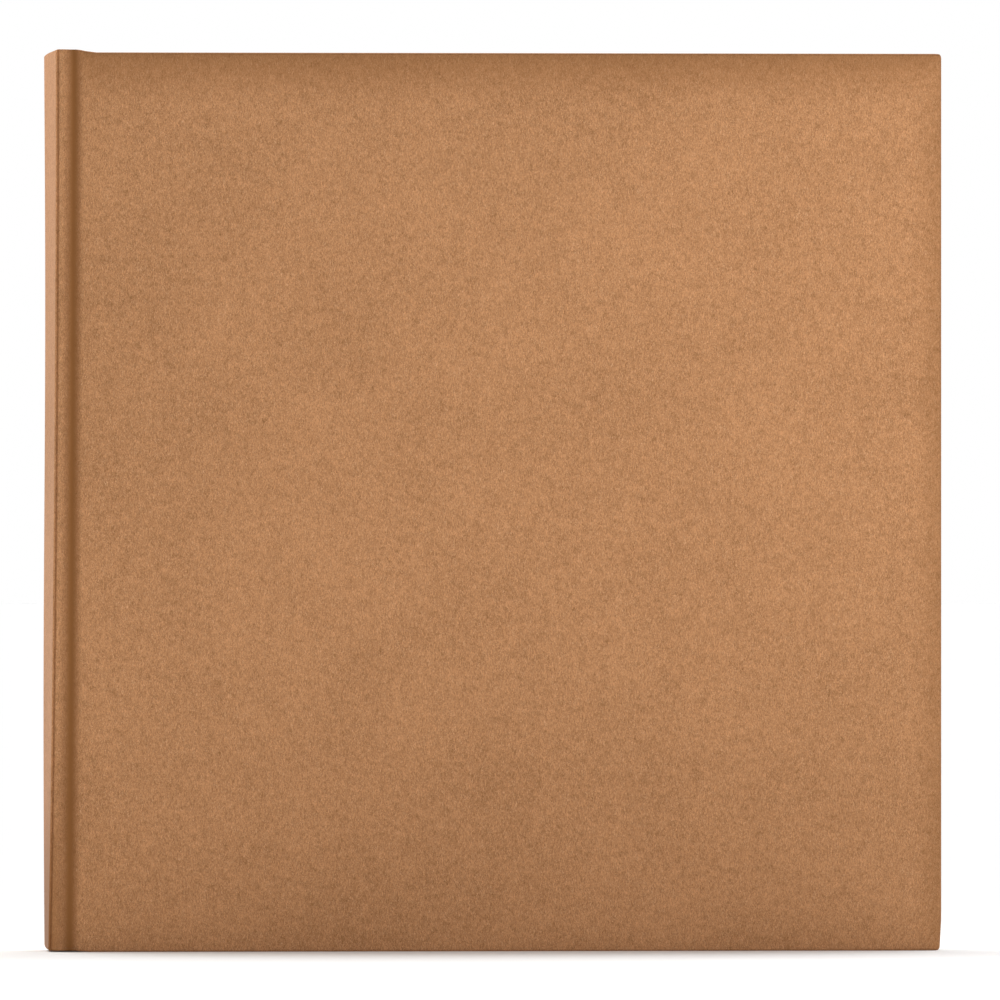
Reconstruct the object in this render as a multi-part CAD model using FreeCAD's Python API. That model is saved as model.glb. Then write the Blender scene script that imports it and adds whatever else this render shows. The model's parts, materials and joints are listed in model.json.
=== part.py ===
import FreeCAD, Part

import math
import os

# A case-bound scrapbook album that stands upright on the tail edges of its boards.
# +Z is up, the spine is at -X, the fore-edge at +X, the front cover faces -Y.
# The origin is at the bottom centre of the closed album. All sizes are in millimetres.

# Whole album
WIDTH = 297.0  # spine face to fore-edge
THICKNESS = 38.0  # outer face of one cover to the outer face of the other
SPINE_HEIGHT = 300.0
BOARD_HEIGHT = 299.0  # the spine stands a millimetre above the boards at the head

# Case: paper glued over greyboard
COVER_PAPER = 0.3
COVER = 3.0  # paper, board and turned-in paper together
SPINE_BOARD = 2.0
SPINE_CORNER = 0.9  # radius of the spine's long corners
BOARD_CORNER = 0.6  # radius of the boards' long fore-edge corners
TURN_IN = 15.0  # width of the paper folded over inside each cover

# French groove between the spine and each board. Its section is four quarter circles.
GROOVE_AT = 6.0  # from the spine face to the middle of the groove, where the cover turns
GROOVE_RADIUS = 1.0
GROOVE_SPLIT = 8.0  # degrees of the groove's floor left open each side of the middle

# Linings of the spine, from the board inwards
LINER = 0.3
MULL = 0.3
HINGE_MULL_WIDTH = 25.0
BAND_RADIUS = 1.2
RIBBON_HEIGHT = 13.0

# Book block
SQUARE = 3.5  # how far the boards stand beyond the leaves
FORE_SQUARE = 4.0
LEAF_COUNT = 20
LEAF = 0.35
LEAF_PITCH = 1.5
MARGIN = 15.5  # from the spine face to the free edge of the bound margin
FOLD_AT = 16.2  # from the spine face to the fold that each leaf turns on
FOLD_GAP = 0.2
ENDPAPER = 0.2
PASTEDOWN_INSET = 3.0
PASTEDOWN_GAP = 0.1
GLASSINE = 0.06
GLASSINE_GAP = 0.1
GLASSINE_INSET = 1.5

FRONT, BACK = -1, 1
BLOCK_SPINE = COVER_PAPER + SPINE_BOARD + LINER + MULL
LEAF_BOTTOM = SQUARE
LEAF_TOP = BOARD_HEIGHT - SQUARE
LEAF_END = WIDTH - FORE_SQUARE
HALF = THICKNESS / 2
FIRST_LEAF = -LEAF_PITCH * (LEAF_COUNT - 1) / 2
FLYLEAF_DEPTH = COVER + ENDPAPER + PASTEDOWN_GAP + ENDPAPER / 2


def plan(side, across, depth):
    """A point at a distance from the spine face and a depth below one cover's outer face."""
    return FreeCAD.Vector(across - WIDTH / 2, side * (HALF - depth), 0)


def on_circle(centre, radius, degrees):
    turn = math.radians(degrees)
    return centre[0] + radius * math.cos(turn), centre[1] + radius * math.sin(turn)


def arc(centre, radius, first, last):
    """The middle and the end of an arc, as one step of an outline."""
    return on_circle(centre, radius, (first + last) / 2), on_circle(centre, radius, last)


def outline(side, start, *steps):
    """A closed plan face. A step of one point is a straight edge and one of two is an arc."""
    edges, here = [], start
    for step in steps:
        points = [plan(side, *p) for p in (here, *step)]
        curve = Part.Arc(*points) if len(step) == 2 else Part.LineSegment(*points)
        edges.append(curve.toShape())
        here = step[-1]
    return Part.Face(Part.Wire(edges))


def upright(face, low, high):
    """Stands a plan face up between two heights."""
    solid = face.extrude(FreeCAD.Vector(0, 0, high - low))
    solid.translate(FreeCAD.Vector(0, 0, low))
    return solid


def slab(across, y_range, z_range):
    """A box between two distances from the spine face, two depths and two heights."""
    size = [high - low for low, high in (across, y_range, z_range)]
    corner = FreeCAD.Vector(across[0] - WIDTH / 2, y_range[0], z_range[0])
    return Part.makeBox(*size, corner)


def cover_slab(side, across, depths, z_range):
    """A slab of a cover, whose depths are counted from that cover's outer face."""
    return slab(across, sorted(side * (HALF - d) for d in depths), z_range)


def centred(y, thickness):
    return y - thickness / 2, y + thickness / 2


# Circle centres of the groove's section: the spine's shoulder, the floor and the board's edge
SHOULDER = (GROOVE_AT - 2 * GROOVE_RADIUS, GROOVE_RADIUS)
FLOOR = (GROOVE_AT, GROOVE_RADIUS)
BOARD_EDGE = (GROOVE_AT + 2 * GROOVE_RADIUS, GROOVE_RADIUS)
TIGHT = GROOVE_RADIUS - COVER_PAPER
WIDE = GROOVE_RADIUS + COVER_PAPER


def spine_paper_half(side):
    """Covering paper from the middle of the spine, round its corner, to the groove's floor."""
    corner = (SPINE_CORNER, SPINE_CORNER)
    inside = SPINE_CORNER - COVER_PAPER
    split = 90 + GROOVE_SPLIT
    return outline(
        side,
        (0, HALF),
        [(0, SPINE_CORNER)],
        arc(corner, SPINE_CORNER, 180, 270),
        [(SHOULDER[0], 0)],
        arc(SHOULDER, GROOVE_RADIUS, -90, 0),
        arc(FLOOR, GROOVE_RADIUS, 180, split),
        [on_circle(FLOOR, WIDE, split)],
        arc(FLOOR, WIDE, split, 180),
        arc(SHOULDER, TIGHT, 0, -90),
        [(SPINE_CORNER, COVER_PAPER)],
        arc(corner, inside, 270, 180),
        [(COVER_PAPER, HALF)],
        [(0, HALF)],
    )


def cover_outline(side):
    """A cover in plan, with the tongue of paper that reaches down to the groove's floor."""
    top = (WIDTH - BOARD_CORNER, BOARD_CORNER)
    low = (WIDTH - BOARD_CORNER, COVER - BOARD_CORNER)
    edge = BOARD_EDGE[0] - TIGHT
    split = 90 - GROOVE_SPLIT
    return outline(
        side,
        on_circle(FLOOR, GROOVE_RADIUS, split),
        arc(FLOOR, GROOVE_RADIUS, split, 0),
        arc(BOARD_EDGE, GROOVE_RADIUS, 180, 270),
        [(top[0], 0)],
        arc(top, BOARD_CORNER, -90, 0),
        [(WIDTH, low[1])],
        arc(low, BOARD_CORNER, 0, 90),
        [(edge, COVER)],
        [(edge, GROOVE_RADIUS)],
        arc(FLOOR, WIDE, 0, split),
        [on_circle(FLOOR, GROOVE_RADIUS, split)],
    )


def board_outline(side):
    """The greyboard inside a cover, in plan."""
    radius = BOARD_CORNER - COVER_PAPER
    top = (WIDTH - BOARD_CORNER, BOARD_CORNER)
    low = (WIDTH - BOARD_CORNER, COVER - BOARD_CORNER)
    edge = BOARD_EDGE[0] - TIGHT
    return outline(
        side,
        (edge, GROOVE_RADIUS),
        arc(BOARD_EDGE, TIGHT, 180, 270),
        [(top[0], COVER_PAPER)],
        arc(top, radius, -90, 0),
        [(WIDTH - COVER_PAPER, low[1])],
        arc(low, radius, 0, 90),
        [(edge, COVER - COVER_PAPER)],
        [(edge, GROOVE_RADIUS)],
    )


def cover_pieces(side, name):
    """One cover: greyboard, covering paper with its turn-ins, hinge mull and pastedown."""
    edge = BOARD_EDGE[0] - TIGHT
    inner = COVER - COVER_PAPER
    bare = (edge, WIDTH - TURN_IN)
    bare_heights = (TURN_IN, BOARD_HEIGHT - TURN_IN)
    board = upright(board_outline(side), COVER_PAPER, BOARD_HEIGHT - COVER_PAPER)
    window = cover_slab(side, bare, (inner, COVER), bare_heights)
    paper = upright(cover_outline(side), 0, BOARD_HEIGHT).cut(board).cut(window)
    mull_end = edge + HINGE_MULL_WIDTH
    mull = cover_slab(side, (edge, mull_end), (inner, COVER), bare_heights)
    sheet = cover_slab(
        side,
        (edge, WIDTH - PASTEDOWN_INSET),
        (COVER, COVER + ENDPAPER),
        (PASTEDOWN_INSET, BOARD_HEIGHT - PASTEDOWN_INSET),
    )
    bed = cover_slab(side, (mull_end, bare[1]), (inner, COVER), bare_heights)
    return {
        f"{name}_board": board,
        f"{name}_cover_paper": paper,
        f"{name}_hinge_mull": mull,
        f"{name}_pastedown": sheet.fuse(bed).removeSplitter(),
    }


def end_band(bead_z, ribbon_z):
    """A head or tail band: a corded bead along the block's spine, sewn on a ribbon."""
    length = 2 * (HALF - FLYLEAF_DEPTH)
    lining = BLOCK_SPINE - MULL
    start = FreeCAD.Vector(lining + BAND_RADIUS - WIDTH / 2, -length / 2, bead_z)
    bead = Part.makeCylinder(BAND_RADIUS, length, start, FreeCAD.Vector(0, 1, 0))
    ribbon = slab((lining, BLOCK_SPINE), (-length / 2, length / 2), ribbon_z)
    return bead.fuse(ribbon).removeSplitter()


def spine_pieces():
    """Everything that stays with the spine: its board, paper, linings and bands."""
    halves = [upright(spine_paper_half(side), 0, SPINE_HEIGHT) for side in (FRONT, BACK)]
    board_half = HALF - COVER_PAPER
    board = slab(
        (COVER_PAPER, COVER_PAPER + SPINE_BOARD),
        (-board_half, board_half),
        (COVER_PAPER, SPINE_HEIGHT - COVER_PAPER),
    )
    long_edges = [e for e in board.Edges if abs(e.Length - board.BoundBox.ZLength) < 0.01]
    outer_edges = [e for e in long_edges if e.BoundBox.XMax < COVER_PAPER + 0.01 - WIDTH / 2]
    board = board.makeFillet(SPINE_CORNER - COVER_PAPER, outer_edges)
    lining = COVER_PAPER + SPINE_BOARD
    block_half = HALF - FLYLEAF_DEPTH + ENDPAPER / 2
    leaf_heights = (LEAF_BOTTOM, LEAF_TOP)
    ribbon_low = (LEAF_BOTTOM - BAND_RADIUS, LEAF_BOTTOM + RIBBON_HEIGHT)
    ribbon_high = (LEAF_TOP - RIBBON_HEIGHT, LEAF_TOP + BAND_RADIUS)
    return {
        "spine_board": board,
        "spine_cover_paper": halves[0].fuse(halves[1]).removeSplitter(),
        "spine_liner": slab((lining, lining + LINER), (-block_half, block_half), leaf_heights),
        "spine_mull": slab(
            (lining + LINER, BLOCK_SPINE),
            (-block_half, block_half),
            (ribbon_low[1], ribbon_high[0]),
        ),
        "head_band": end_band(LEAF_TOP + BAND_RADIUS, ribbon_high),
        "tail_band": end_band(LEAF_BOTTOM - BAND_RADIUS, ribbon_low),
    }


def sheets_in_block():
    """Middle depth and thickness of each sheet, from the front flyleaf to the back one."""
    flyleaf_y = HALF - FLYLEAF_DEPTH
    leaves = [(FIRST_LEAF + n * LEAF_PITCH, LEAF) for n in range(LEAF_COUNT)]
    return [(-flyleaf_y, ENDPAPER), *leaves, (flyleaf_y, ENDPAPER)]


def margin_pieces():
    """The bound margin: each sheet's own margin, and the guards between them."""
    bound = (BLOCK_SPINE, MARGIN)
    heights = (LEAF_BOTTOM, LEAF_TOP)
    spans = [centred(*sheet) for sheet in sheets_in_block()]
    stubs = [slab(bound, span, heights) for span in spans]
    gaps = [(near[1], far[0]) for near, far in zip(spans, spans[1:])]
    guards = [slab(bound, gap, heights) for gap in gaps]
    return {
        "leaf_stubs": Part.makeCompound(stubs),
        "guard_strips": Part.makeCompound(guards),
    }


def turning_sheets():
    """The flyleaves, and each leaf with the glassine sheet that lies on its front."""
    free = (FOLD_AT + FOLD_GAP, LEAF_END)
    heights = (LEAF_BOTTOM, LEAF_TOP)
    front, *leaves, back = sheets_in_block()
    pieces = {
        "front_flyleaf": slab(free, centred(*front), heights),
        "back_flyleaf": slab(free, centred(*back), heights),
    }
    tissue = (free[0] + GLASSINE_INSET, free[1] - GLASSINE_INSET)
    tissue_heights = (heights[0] + GLASSINE_INSET, heights[1] - GLASSINE_INSET)
    for number, (y, thickness) in enumerate(leaves, 1):
        pieces[f"leaf_{number:02d}"] = slab(free, centred(y, thickness), heights)
        near = y - thickness / 2 - GLASSINE_GAP
        pieces[f"glassine_{number:02d}"] = slab(tissue, (near - GLASSINE, near), tissue_heights)
    return pieces


def all_pieces():
    return {
        **spine_pieces(),
        **margin_pieces(),
        **cover_pieces(FRONT, "front"),
        **cover_pieces(BACK, "back"),
        **turning_sheets(),
    }


os.makedirs("parts", exist_ok=True)
for node, shape in all_pieces().items():
    shape.exportStep(f"parts/{node}.step")
    print(f"{node}: {len(shape.Solids)} solids, {shape.Volume:.0f} mm3, valid {shape.isValid()}")
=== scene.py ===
"""A case-bound scrapbook album: paper-covered boards, French grooves, card leaves and glassine.

Every size is in metres. Places across the album are counted from the spine's face towards the
fore-edge, and depths from a cover's outer face into the block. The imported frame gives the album's
box, its joints and where each leaf stands.
"""

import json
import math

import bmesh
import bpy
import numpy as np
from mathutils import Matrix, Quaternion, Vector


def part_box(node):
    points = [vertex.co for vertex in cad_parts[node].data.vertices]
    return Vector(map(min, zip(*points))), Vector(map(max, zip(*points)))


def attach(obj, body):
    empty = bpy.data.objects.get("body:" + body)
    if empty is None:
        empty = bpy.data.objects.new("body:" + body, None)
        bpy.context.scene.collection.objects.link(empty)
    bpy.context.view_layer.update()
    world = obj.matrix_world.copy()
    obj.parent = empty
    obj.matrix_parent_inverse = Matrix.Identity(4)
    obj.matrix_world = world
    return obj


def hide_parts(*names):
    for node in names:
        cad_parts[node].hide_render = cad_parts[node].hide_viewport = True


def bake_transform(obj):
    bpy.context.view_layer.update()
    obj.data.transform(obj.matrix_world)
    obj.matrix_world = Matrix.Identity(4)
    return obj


bl_info = {
    "name": "Scrapbook Album",
    "version": (1, 0, 0),
    "blender": (4, 5, 0),
    "location": "View3D > Sidebar > Album",
    "description": "Builds a case-bound scrapbook album around its packed frame",
    "category": "Object",
}

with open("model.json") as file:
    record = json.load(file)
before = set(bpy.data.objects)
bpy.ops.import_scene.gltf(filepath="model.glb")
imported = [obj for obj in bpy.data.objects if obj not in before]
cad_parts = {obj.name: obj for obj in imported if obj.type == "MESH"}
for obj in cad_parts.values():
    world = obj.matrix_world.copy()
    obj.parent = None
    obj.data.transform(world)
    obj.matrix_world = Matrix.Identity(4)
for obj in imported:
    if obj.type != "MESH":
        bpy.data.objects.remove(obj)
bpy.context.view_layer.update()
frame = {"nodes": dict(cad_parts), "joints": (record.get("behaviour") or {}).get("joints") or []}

MM = 0.001
REST_PLACE = "rest_place"
# Name of the point layer that holds how much painted shade each point takes.
SHADE_LAYER = "painted_shade"
SHARP_FROM = math.radians(40)

JOINTS = {joint["name"]: joint for joint in frame["joints"]}
NODES = frame["nodes"]
FRONT, BACK = -1, 1
SIDES = {"front": FRONT, "back": BACK}

# Where things stand, read from the frame
SPINE_X, FORE_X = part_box("spine_cover_paper")[0].x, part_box("front_cover_paper")[1].x
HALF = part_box("back_cover_paper")[1].y
SPINE_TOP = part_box("spine_cover_paper")[1].z
BOARD_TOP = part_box("front_cover_paper")[1].z
WIDTH = FORE_X - SPINE_X
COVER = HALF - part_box("back_pastedown")[0].y - 0.2 * MM
GROOVE_AT = JOINTS["front_cover_open"]["pos_m"][0] - SPINE_X
FOLD_AT = JOINTS["leaf_01_turn"]["pos_m"][0] - SPINE_X
BLOCK_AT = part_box("leaf_stubs")[0].x - SPINE_X
LEAF_NAMES = sorted(name for name in NODES if name.startswith("leaf_") and name[5:].isdigit())


# ---------------------------------------------------------------- settings

def length(name, description, default):
    """A size that a user may change."""
    return bpy.props.FloatProperty(
        name=name, description=description, default=default, min=0.0, precision=5,
        subtype="DISTANCE", unit="LENGTH",
    )


def colour(name, description, default):
    """A colour that a user may change."""
    return bpy.props.FloatVectorProperty(
        name=name, description=description, default=default, size=3, min=0.0, max=1.0,
        subtype="COLOR",
    )


class AlbumSizes(bpy.types.PropertyGroup):
    """Sizes of the album's soft shapes, which its frame leaves open."""

    cover_paper: length("Covering paper", "Thickness of the covering paper", 0.3 * MM)
    spine_board: length("Spine board", "Thickness of the spine board with its paper", 2.29 * MM)
    crease_depth: length("Crease depth", "Depth of the crease beside the spine's edge", 0.34 * MM)
    groove_depth: length("Groove depth", "Depth of the groove beside the board", 1.6 * MM)
    groove_to_ridge: length("Groove to ridge", "From the groove's middle to the ridge", 4.1 * MM)
    groove_to_board: length("Groove to board", "From the groove's middle to the board", 3.7 * MM)
    edge_radius: length("Edge radius", "Rounding of the covers' long edges", 0.8 * MM)
    corner_radius: length("Corner radius", "Rounding of the covers' outer corners", 1.3 * MM)
    square: length("Pastedown inset", "From a cover's edge to its pastedown", 3.0 * MM)
    leaf_wave: length("Leaf wave", "How far a leaf leaves its own plane", 0.18 * MM)
    glassine_wave: length("Glassine wave", "How far a glassine sheet cockles", 0.11 * MM)


class AlbumColours(bpy.types.PropertyGroup):
    """Colours of the album's papers and cloths."""

    cover: colour("Covering paper", "Copper-brown pearly paper", (0.461, 0.22, 0.094))
    board: colour("Greyboard", "Grey pasteboard inside the case", (0.30, 0.28, 0.25))
    endpaper: colour("Endpaper", "Pastedowns and flyleaves", (0.75, 0.69, 0.58))
    leaf: colour("Album leaf", "Off-white album card", (0.82, 0.78, 0.69))
    guard: colour("Guard", "Card strips between the leaves", (0.74, 0.68, 0.57))
    glassine: colour("Glassine", "Translucent interleaves", (0.88, 0.88, 0.85))
    kraft: colour("Kraft liner", "Brown paper on the block's spine", (0.40, 0.27, 0.15))
    gauze: colour("Mull", "Starched gauze that joins block and case", (0.76, 0.71, 0.62))
    band_light: colour("Band, light", "Light stripes of the end bands", (0.84, 0.78, 0.66))
    band_dark: colour("Band, dark", "Dark stripes of the end bands", (0.32, 0.14, 0.055))


def sizes():
    """The album's sizes, as set in the scene."""
    return bpy.context.scene.album_sizes


def colours():
    """The album's colours, as set in the scene."""
    return bpy.context.scene.album_colours


# ---------------------------------------------------------------- shapes

def smoothstep(low, high, value):
    """0 below low, 1 above high, and an eased rise between them."""
    t = np.clip((np.asarray(value, float) - low) / (high - low), 0, 1)
    return t * t * (3 - 2 * t)


def in_frame(side, across, depth, height):
    """Points of the frame from places across, depths below one cover's face, and heights."""
    across, depth, height = np.broadcast_arrays(across, depth, height)
    return np.stack([SPINE_X + across, side * (HALF - depth), height], axis=-1)


HEAD_LEAN = 0.5 * MM
CREASE_LEAN, GROOVE_LEAN = 2.55 * MM, 1.6 * MM
BACK_BOW = 0.28 * MM
LEAN_END = 60 * MM
BLUNTED = 0.5 * MM


def rack(points):
    """The case stands slightly askew: its front joint leans towards the spine at the tail.

    The back joint bows a little, and the front cover's tail corner is blunted.
    """
    across = points[..., 0] - SPINE_X
    front = (HALF - points[..., 1]) / (2 * HALF)
    down = np.clip(1 - points[..., 2] / SPINE_TOP, 0, 1)
    crease = HEAD_LEAN - CREASE_LEAN * down**2
    groove = HEAD_LEAN - GROOVE_LEAN * down
    lean = crease + (groove - crease) * smoothstep(1 * MM, GROOVE_AT, across)
    bow = BACK_BOW * np.sin(math.tau * (down - 0.05) / 0.92)
    fade = 1 - smoothstep(GROOVE_AT + 3 * MM, LEAN_END, across)
    blunt = BLUNTED * smoothstep(0.96, 1, down) * smoothstep(0.85, 1, across / WIDTH)
    moved = points.copy()
    moved[..., 0] += (front * lean + (1 - front) * bow) * fade - front * blunt
    return moved


def shell(near, far):
    """Points and faces of a closed sheet from its two skins, each a grid of points."""
    rows, columns = near.shape[:2]
    count = rows * columns
    points = np.concatenate([near.reshape(-1, 3), far.reshape(-1, 3)])
    grid = np.arange(count).reshape(rows, columns)
    cells = np.stack([grid[:-1, :-1], grid[1:, :-1], grid[1:, 1:], grid[:-1, 1:]], -1)
    skin = cells.reshape(-1, 4)
    rim = np.concatenate([grid[0, :-1], grid[:-1, -1], grid[-1, :0:-1], grid[:0:-1, 0]])
    after = np.roll(rim, -1)
    edge = np.stack([rim, after, after + count, rim + count], -1)
    return points, np.concatenate([skin, skin[:, ::-1] + count, edge])


def joined(parts):
    """One set of points and faces from several."""
    points, faces, start = [], [], 0
    for some_points, some_faces in parts:
        points.append(some_points)
        faces.append(some_faces + start)
        start += len(some_points)
    return np.concatenate(points), np.concatenate(faces)


def smooth_object(name, points, faces, material):
    """A smooth mesh object whose normals face out and whose points remember where they rest."""
    mesh = bpy.data.meshes.new(name)
    mesh.from_pydata(points.tolist(), [], faces)
    work = bmesh.new()
    work.from_mesh(mesh)
    bmesh.ops.recalc_face_normals(work, faces=work.faces)
    work.to_mesh(mesh)
    work.free()
    mesh.polygons.foreach_set("use_smooth", [True] * len(mesh.polygons))
    place = mesh.attributes.new(REST_PLACE, "FLOAT_VECTOR", "POINT")
    place.data.foreach_set("vector", np.asarray(points, np.float32).ravel())
    mesh.materials.append(material)
    made = bpy.data.objects.new(name, mesh)
    bpy.context.scene.collection.objects.link(made)
    return made


def piece(name, points, faces, material, slot, shade_amount=None):
    """A sheet or board with crisp edges, and how much painted shade it takes at each point."""
    made = smooth_object(name, points, faces.tolist(), material)
    made.data.set_sharp_from_angle(angle=SHARP_FROM)
    worn_and_shaded = made.data.attributes.new(SHADE_LAYER, "FLOAT", "POINT")
    worn_and_shaded.data.foreach_set("value", np.zeros(len(points), np.float32) if shade_amount is None else shade_amount)
    return made


def eased(low, high, steps, radius):
    """Stations from low to high with finer ones where an edge is rounded, and each one's inset."""
    turn = np.linspace(0, math.pi / 2, 5)
    rise = radius * (1 - np.cos(turn))
    inset = radius * (1 - np.sin(turn))
    middle = np.linspace(low + radius, high - radius, steps)[1:-1]
    stations = np.concatenate([low + rise, middle, high - rise[::-1]])
    insets = np.concatenate([inset, np.zeros(len(middle)), inset[::-1]])
    return stations, insets


def sheet_shell(across, heights, thickness, middle_y):
    """A flat sheet with softened edges. middle_y gives its depth at each place and height."""
    ease = thickness * 0.45
    a, a_inset = eased(*across, ease)
    z, z_inset = eased(*heights, ease)
    grid_a, grid_z = np.meshgrid(a, z, indexing="ij")
    inset = np.maximum(a_inset[:, None], z_inset[None, :])
    half = thickness / 2 - inset
    y = middle_y(grid_a, grid_z)
    x = SPINE_X + grid_a
    near = np.stack([x, y - half, grid_z], -1)
    far = np.stack([x, y + half, grid_z], -1)
    return shell(near, far)


# ---------------------------------------------------------------- materials

def node(tree, kind, inputs=None, **settings):
    """A shader node. An input may be given a value or another node's output."""
    made = tree.nodes.new(kind)
    for key, value in settings.items():
        setattr(made, key, value)
    for key, value in (inputs or {}).items():
        if isinstance(value, bpy.types.NodeSocket):
            tree.links.new(value, made.inputs[key])
        else:
            made.inputs[key].default_value = value
    return made


def maths(tree, operation, first, second=0.5):
    """One operation on two values or outputs."""
    return node(tree, "ShaderNodeMath", {0: first, 1: second}, operation=operation).outputs[0]


def mixed(tree, factor, first, second):
    """A colour between two others."""
    inputs = {0: factor, 6: first, 7: second}
    return node(tree, "ShaderNodeMix", inputs, data_type="RGBA").outputs[2]


def in_range(tree, value, low, high, to_low=0.0, to_high=1.0):
    """A value carried from one range to another, and held inside it."""
    inputs = {0: value, 1: low, 2: high, 3: to_low, 4: to_high}
    return node(tree, "ShaderNodeMapRange", inputs).outputs[0]


def shade(tone, factor):
    """A tone made lighter or darker, as a colour with alpha."""
    return (*(min(1.0, channel * factor) for channel in tone), 1.0)


def new_material(name, tone, roughness):
    """A material, its node tree and its shader."""
    material = bpy.data.materials.new(name)
    material.use_nodes = True
    material.diffuse_color = (*tone, 1.0)
    shader = material.node_tree.nodes["Principled BSDF"]
    shader.inputs["Roughness"].default_value = roughness
    return material, material.node_tree, shader


def where(tree):
    """Each point's place in the album at rest, which stays with the paper when it bends."""
    return node(tree, "ShaderNodeAttribute", attribute_name=REST_PLACE).outputs["Vector"]


def fibres(tree, place, width, run, turn, detail=2.0, curl=0.35):
    """Noise drawn out along one direction, as fibres lie in paper, and bent by their curl."""
    mapping = node(
        tree,
        "ShaderNodeMapping",
        {
            "Vector": place,
            "Rotation": (0.0, math.radians(turn), math.radians(turn / 3)),
            "Scale": (1 / width, 1 / width, 1 / run),
        },
    )
    inputs = {"Vector": mapping.outputs[0], "Scale": 1.0, "Detail": detail, "Distortion": curl}
    return node(tree, "ShaderNodeTexNoise", inputs).outputs[0]


def clouds(tree, place, size, detail=2.0):
    """Even noise with spots of about one size."""
    inputs = {"Vector": place, "Scale": 1 / size, "Detail": detail}
    return node(tree, "ShaderNodeTexNoise", inputs).outputs[0]


def bump(tree, shader, height, distance, strength=1.0):
    """Raises a surface by a pattern's height."""
    made = node(
        tree, "ShaderNodeBump", {"Height": height, "Strength": strength, "Distance": distance}
    )
    tree.links.new(made.outputs[0], shader.inputs["Normal"])


def cover_material():
    """Copper-brown paper with a fibrous mottle, light flecks, a pearly, soft gloss and painted
    shade.
    """
    tone = tuple(colours().cover)
    material, tree, shader = new_material("copper_fibre_paper", tone, 0.5)
    place = where(tree)
    upright = fibres(tree, place, 0.3 * MM, 0.85 * MM, 5, detail=2.0, curl=1.0)
    leaning = fibres(tree, place, 0.32 * MM, 0.8 * MM, -38, detail=2.0, curl=1.3)
    crossing = fibres(tree, place, 0.32 * MM, 0.75 * MM, 48, detail=2.0, curl=1.5)
    both = maths(tree, "ADD", upright, leaning)
    mottle = maths(tree, "MULTIPLY", maths(tree, "ADD", both, crossing), 1 / 3)
    patches = clouds(tree, place, 2.6 * MM)
    drifts = clouds(tree, place, 42 * MM, 1.0)
    soft = maths(tree, "MULTIPLY", patches, 0.12)
    soft = maths(tree, "ADD", soft, maths(tree, "MULTIPLY", drifts, 0.06))
    grain = maths(tree, "ADD", maths(tree, "MULTIPLY", mottle, 0.82), soft)
    level = in_range(tree, grain, 0.385, 0.615)
    dark = shade((tone[0], tone[1] * 0.97, tone[2] * 0.92), 0.58)
    light = shade((tone[0], tone[1] * 1.05, tone[2] * 1.15), 1.4)
    paper = mixed(tree, level, dark, light)
    flecks = fibres(tree, place, 0.27 * MM, 0.8 * MM, 14, detail=0.5, curl=1.8)
    fleck = in_range(tree, flecks, 0.61, 0.71, 0.0, 0.7)
    paper = mixed(tree, fleck, paper, shade((tone[0] * 0.94, tone[1] * 1.16, tone[2] * 1.5), 1.6))
    # Painted shade: the paper turns a darker, deeper copper where the shade layer is high.
    worn_and_shaded = node(tree, "ShaderNodeAttribute", attribute_name=SHADE_LAYER).outputs["Fac"]
    paper = mixed(tree, worn_and_shaded, paper, shade((tone[0], tone[1] * 0.88, tone[2] * 0.66), 0.56))
    tree.links.new(paper, shader.inputs["Base Color"])
    tree.links.new(in_range(tree, grain, 0.38, 0.62, 0.56, 0.42), shader.inputs["Roughness"])
    shader.inputs["Metallic"].default_value = 0.25
    shader.inputs["Specular IOR Level"].default_value = 0.1
    shader.inputs["Specular Tint"].default_value = (0.75, 0.5, 0.36, 1.0)
    bump(tree, shader, mottle, 0.05 * MM, 0.6)
    return material


def plain_paper(name, tone, contrast, roughness, fibre=0.4 * MM, tooth=0.04 * MM):
    """An uncoated paper: faint fibres, faint clouds where the pulp is denser, a fine tooth."""
    material, tree, shader = new_material(name, tone, roughness)
    place = where(tree)
    first = fibres(tree, place, fibre, fibre * 3.5, 12)
    second = fibres(tree, place, fibre * 1.2, fibre * 4, -50)
    pulp = clouds(tree, place, 9 * MM)
    threads = maths(tree, "MULTIPLY", maths(tree, "ADD", first, second), 0.38)
    grain = maths(tree, "ADD", threads, maths(tree, "MULTIPLY", pulp, 0.24))
    level = in_range(tree, grain, 0.36, 0.64)
    paper = mixed(tree, level, shade(tone, 1 - contrast), shade(tone, 1 + contrast))
    tree.links.new(paper, shader.inputs["Base Color"])
    rough = in_range(tree, grain, 0.3, 0.7, roughness + 0.05, roughness - 0.05)
    tree.links.new(rough, shader.inputs["Roughness"])
    shader.inputs["Specular IOR Level"].default_value = 0.3
    bump(tree, shader, threads, tooth, 0.4)
    return material


def board_material():
    """Greyboard: pressed waste paper with dark and light specks."""
    tone = tuple(colours().board)
    material, tree, shader = new_material("greyboard", tone, 0.9)
    place = where(tree)
    pulp = clouds(tree, place, 1.4 * MM, 4.0)
    specks = clouds(tree, place, 0.5 * MM, 1.0)
    board = mixed(tree, in_range(tree, pulp, 0.35, 0.65), shade(tone, 0.8), shade(tone, 1.2))
    board = mixed(tree, in_range(tree, specks, 0.66, 0.72, 0.0, 0.7), board, shade(tone, 0.35))
    board = mixed(tree, in_range(tree, specks, 0.34, 0.28, 0.0, 0.6), board, shade(tone, 1.9))
    tree.links.new(board, shader.inputs["Base Color"])
    bump(tree, shader, pulp, 0.08 * MM, 0.5)
    return material


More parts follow.
